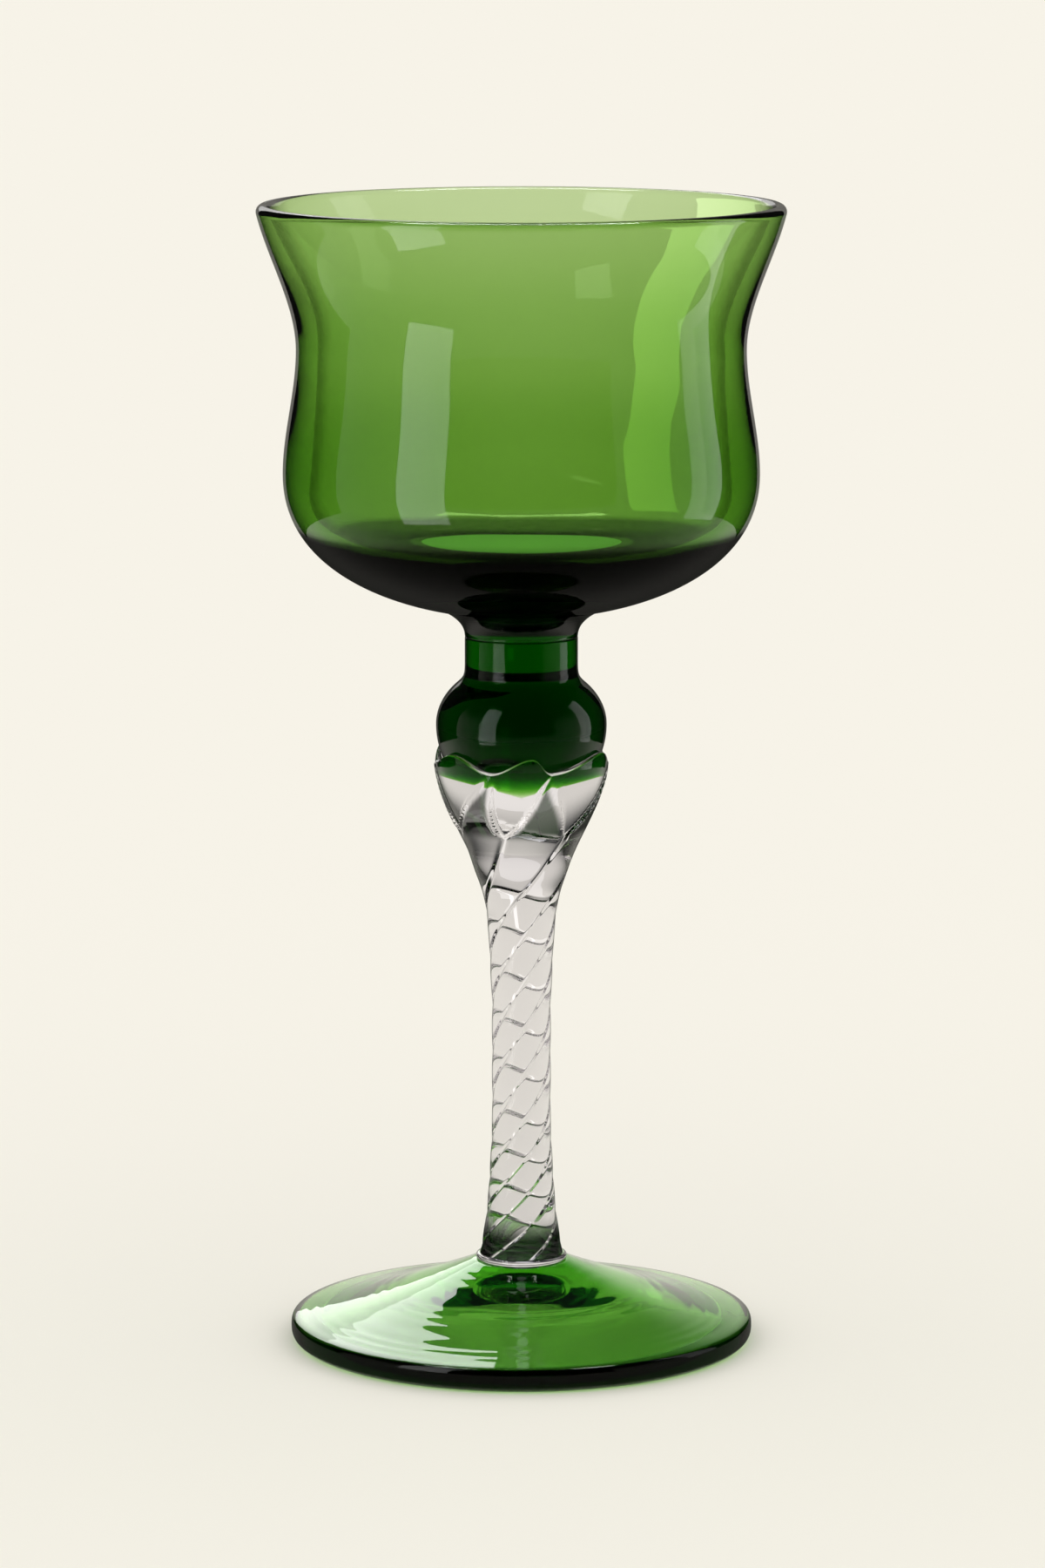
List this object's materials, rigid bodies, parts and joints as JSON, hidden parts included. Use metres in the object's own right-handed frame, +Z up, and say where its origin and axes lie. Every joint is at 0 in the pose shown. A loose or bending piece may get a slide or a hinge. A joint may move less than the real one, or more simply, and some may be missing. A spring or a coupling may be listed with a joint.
{
  "type": "goblet",
  "caption": "Stemmed wine goblet: flared green bowl with a full belly, ball knop in a clear petalled calyx, clear twisted stem and green conical foot.",
  "frame": {"origin": "on the table under the middle of the foot", "axes": "+Z up along the stem, -Y towards the front, +X to the right"},
  "size_m": [0.0914, 0.0914, 0.2],
  "materials": {
    "green_glass": "polished transparent green glass",
    "clear_glass": "polished colourless glass"
  },
  "bodies": {
    "root": {"foot": "green_glass", "foot_collar": "clear_glass", "stem": "clear_glass", "calyx": "clear_glass", "knop": "green_glass", "bowl_wafer": "green_glass", "bowl": "green_glass"}
  },
  "joints": []
}
